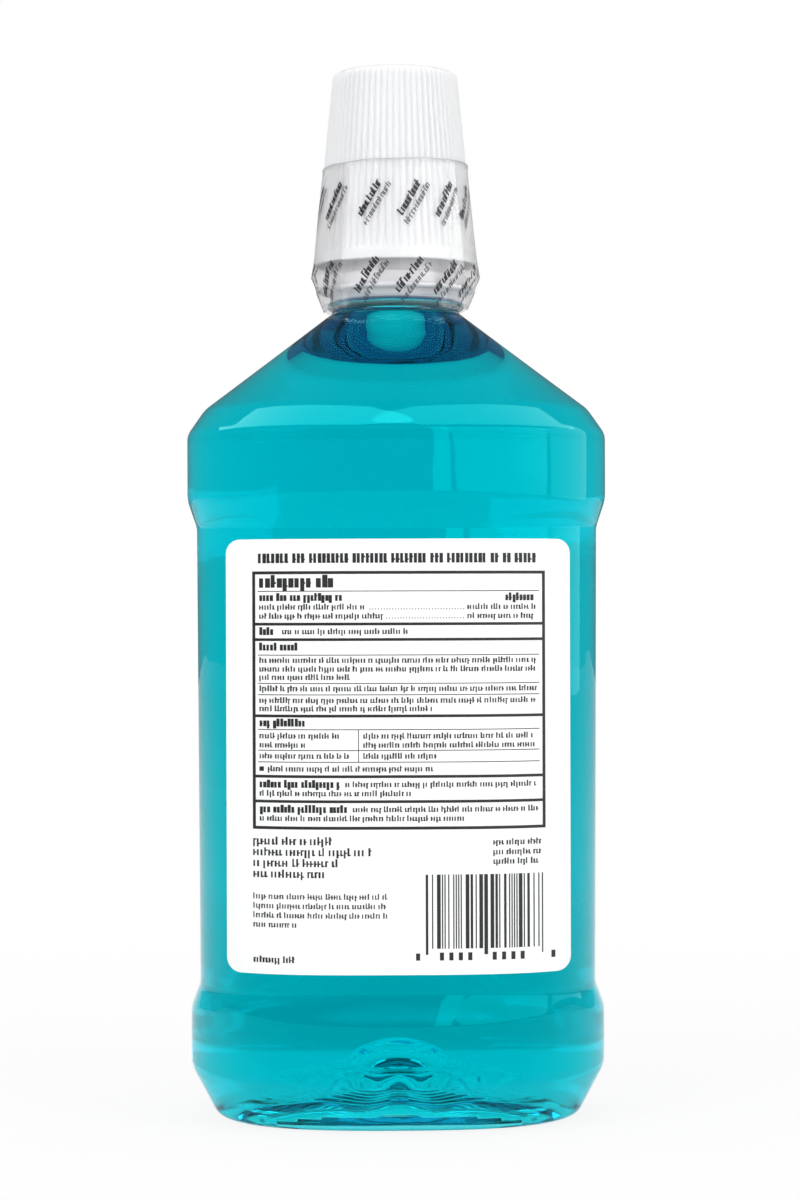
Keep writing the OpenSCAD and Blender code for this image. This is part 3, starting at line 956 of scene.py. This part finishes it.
def ripple(phi, z):
    """How far the film stands off: flat on the cap's ribs, puckered below the cap."""
    low = np.exp(-((z - bridge_z) / bridge_h) ** 2)
    waves = 0.10 * np.sin(5 * phi + 0.7) * np.sin(0.3 * z + 2 * phi)
    loose = 0.05 * np.sin(5 * phi + 0.12 * z) + 0.006 * np.sin(17 * phi + 0.5 * z)
    brim = np.exp(-((z - band_top) / 1.2) ** 2)
    return 0.32 * low * (1 + waves) + 0.07 + loose + 0.22 * brim


def film_r(phi, z):
    return np.interp(z, band_line[:, 0], band_line[:, 1]) + ripple(phi, z)


def film_z(phi, z):
    """Where a height of the film ends up: its hem and its brim are cut a little unevenly."""
    hem = max(0, 1 - (z - band_line[0, 0]) / 5)
    brim = max(0, 1 - (band_top - z) / 4) * 0.6 * (math.cos(phi) - 1 + 0.15 * math.sin(9 * phi))
    return z + hem * (0.5 * math.sin(3 * phi + 1) + 0.25 * math.sin(11 * phi)) + brim


# Most light goes straight through so thin a film, and only a share of it bends or mirrors.
film = finish_of("clear_film", {
    "Base Color": (0.98, 0.98, 0.99, 1),
    "Alpha": 0.3,
    "Roughness": 0.03,
    "Transmission Weight": 1.0,
    "IOR": 1.45,
})
waviness(film, 120, 0.00006, 0.5)

# The cut edge at the top scatters light, so it shows as a fine grey line.
cut_edge = 0.35
heights = np.concatenate([
    np.linspace(band_line[0, 0], rim_z + 3, 34),
    np.linspace(rim_z + 4, band_top - cut_edge, 26),
    [band_top],
])
film_edge = finish_of("film_cut_edge", {"Base Color": (0.55, 0.55, 0.57, 1), "Roughness": 0.3})
waviness(film_edge, 900, 0.00001, 0.3)


# Each half is spun, then pressed to its shape. A tear line is a row of slits and of webs
# between them, which are narrower.
spin_r, slit, web, slit_pitch, first_slit = 22, 0.12, 0.05, 0.9, 220
for side, turn, node in (("back", math.pi, "neckband_back"), ("front", 0, "neckband_front")):
    sleeve = spun(f"neckband_{side}_film", [(z, spin_r) for z in heights], 180, math.pi)
    sleeve.data.materials.append(film)
    sleeve.data.materials.append(film_edge)
    for face in sleeve.data.polygons:
        face.material_index = int(face.center.z > (band_top - cut_edge) * MM)
    for vertex in sleeve.data.vertices:
        phi, z = abs(math.atan2(vertex.co.y, vertex.co.x)), vertex.co.z / MM
        gap = (slit if int((z - first_slit) / slit_pitch) % 2 else web) / spin_r
        phi = min(max(phi, gap), math.pi - gap) + turn
        r = film_r(phi, z)
        vertex.co = (r * math.cos(phi) * MM, r * math.sin(phi) * MM, film_z(phi, z) * MM)
    bpy.ops.object.mode_set(mode="EDIT")
    bpy.ops.mesh.select_all(action="SELECT")
    bpy.ops.mesh.normals_make_consistent(inside=False)
    bpy.ops.object.mode_set(mode="OBJECT")
    if sum(f.normal.x * f.center.x + f.normal.y * f.center.y for f in sleeve.data.polygons) < 0:
        bpy.ops.object.mode_set(mode="EDIT")
        bpy.ops.mesh.select_all(action="SELECT")
        bpy.ops.mesh.flip_normals()
        bpy.ops.object.mode_set(mode="OBJECT")
    thick = sleeve.modifiers.new("film", "SOLIDIFY")
    thick.thickness, thick.offset = film_t * MM, 1
    bpy.ops.object.modifier_apply(modifier=thick.name)
    smooth(sleeve, 60)
    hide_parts(node)
    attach(sleeve, node.replace("neckband", "band"))


# Print of the neckband: slanted pairs of letter-like marks that say nothing, in dark ink on
# the film. There are two rows on the back and one on the front.
film_ink = finish_of("film_ink", {"Base Color": (0.02, 0.02, 0.025, 1), "Roughness": 0.45})
waviness(film_ink, 1500, 0.00001, 0.3)


def letters(strokes, frame_of_row, across, along, height, weight, count, run):
    """A slanted row of letter-like marks: stems, and bars between them."""
    cell = run / count
    stem, lean = 0.36 * weight + 0.16, 0.18
    for k in range(count):
        left = along - run / 2 + k * cell
        tall = height * dice.choice((0.72, 0.72, 1.0))
        foot = -across - height * 0.36
        pieces = [(left, foot, left + stem, foot + tall)]
        kind = dice.random()
        if kind < 0.7:
            level = foot + tall * dice.choice((0.0, 0.45, 0.86))
            pieces.append((left, level, left + cell * 0.78, level + stem * 0.75))
        if kind > 0.35:
            pieces.append((left + cell * 0.62, foot, left + cell * 0.62 + stem, foot + height * 0.70))
        for x0, y0, x1, y1 in pieces:
            strokes.append((frame_of_row, [
                (x0 + lean * (y0 - foot), y0), (x1 + lean * (y0 - foot), y0),
                (x1 + lean * (y1 - foot), y1), (x0 + lean * (y1 - foot), y1),
            ]))


print_r = 22.3
columns = {
    "back": [math.radians(a - 90) for a in (-79, -52, -17.5, 12.5, 41, 66)],
    "front": [math.radians(a + 90) for a in (-70, -42, -14, 14, 42, 70)],
}
for side in ("back", "front"):
    strokes = []
    for row_z, slant, shift in ((249.8, 58, 0.0), (228.6, 54, -0.03))[:2 if side == "back" else 1]:
        for turn in columns[side]:
            for across, along, height, weight, count, run in (
                (-1.3, 0.3, 2.2, 1.0, 9, 11.0), (1.5, 0.2, 1.75, 0.34, 12, 13.2),
            ):
                letters(strokes, (turn + shift, row_z, math.radians(slant)), across, along, height,
                        weight, count, run)
    points = []
    for (middle, row_z, slant), corners in strokes:
        for u, v in corners:
            x = u * math.cos(slant) - v * math.sin(slant)
            z = row_z + u * math.sin(slant) + v * math.cos(slant)
            phi = middle + x / print_r
            r = film_r(phi, z) + film_t + 0.05
            points.append((r * math.cos(phi) * MM, r * math.sin(phi) * MM, film_z(phi, z) * MM))
    words = print_of(f"neckband_{side}_print", points, film_ink)
    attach(words, f"band_{side}")
